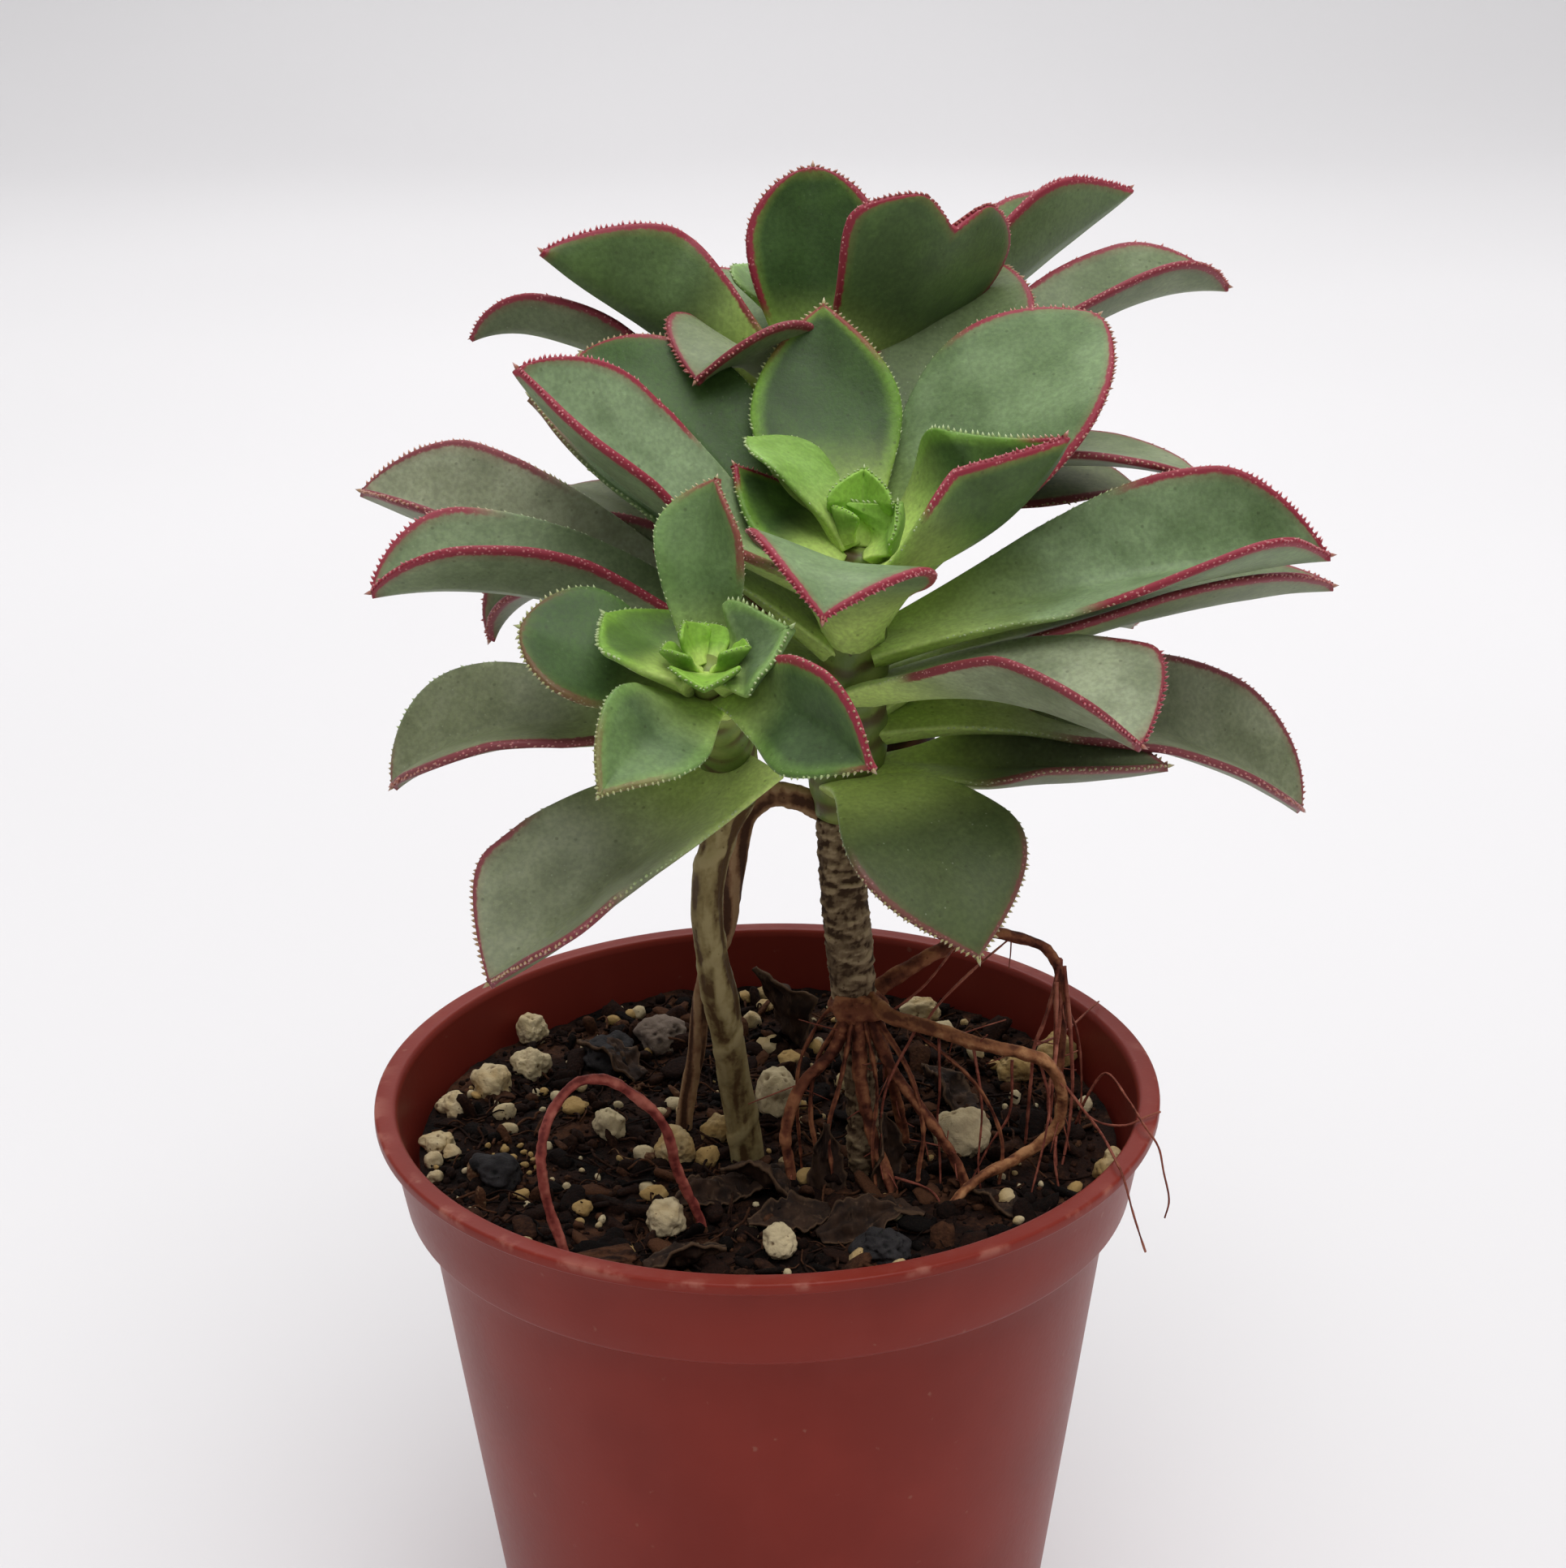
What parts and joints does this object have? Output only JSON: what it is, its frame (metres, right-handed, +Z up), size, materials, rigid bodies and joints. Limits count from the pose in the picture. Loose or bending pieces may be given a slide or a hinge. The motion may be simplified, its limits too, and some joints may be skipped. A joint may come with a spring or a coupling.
{
  "type": "potted aeonium",
  "caption": "Young branching succulent with three leafy rosettes on bare woody stems, aerial roots and gritty soil, in a round tapered plastic nursery pot that stands on its flat base.",
  "frame": {"origin": "centre of the pot's flat base, on the surface that it stands on", "axes": "+Z up along the pot's axis; -Y is the front, the side that the picture shows; +X to the viewer's right"},
  "size_m": [0.1023, 0.0974, 0.1697],
  "materials": {
    "pot": "satin brick-red polypropylene",
    "bark": "dull grey-brown bark with leaf scars",
    "green_stem": "dull olive-tan skin",
    "dry_stem": "dry wrinkled brown",
    "pink_root": "matte pink-red",
    "brown_root": "matte red-brown",
    "pumice": "rough porous cream stone",
    "scoria": "rough porous black stone",
    "grey_stone": "rough grey-brown stone",
    "bark_chip": "rough red-brown",
    "dead_leaf": "dull dark brown",
    "soil": "rough, damp and fibrous",
    "leaf": "waxy matte",
    "young_leaf": "waxy matte"
  },
  "bodies": {
    "root": {"pot": "pot", "trunk": "bark", "side_stem": "green_stem", "dried_stem": "dry_stem", "arch_root": "pink_root", "trunk_roots": "brown_root", "pumice_01": "pumice", "pumice_02": "pumice", "pumice_03": "pumice", "pumice_04": "pumice", "pumice_05": "pumice", "pumice_06": "pumice", "pumice_07": "pumice", "pumice_08": "pumice", "pumice_09": "pumice", "pumice_10": "pumice", "pumice_11": "pumice", "pumice_12": "pumice", "pumice_13": "pumice", "pumice_14": "pumice", "pumice_15": "pumice", "pumice_16": "pumice", "scoria_1": "scoria", "scoria_2": "scoria", "scoria_3": "scoria", "grey_lump": "grey_stone", "bark_chip": "bark_chip", "dead_leaf_1": "dead_leaf", "dead_leaf_2": "dead_leaf", "dead_leaf_3": "dead_leaf", "dead_leaf_4": "dead_leaf", "potting_soil": "soil", "rosette_front": "leaf", "rosette_side": "young_leaf", "rosette_back": "leaf"}
  },
  "joints": []
}
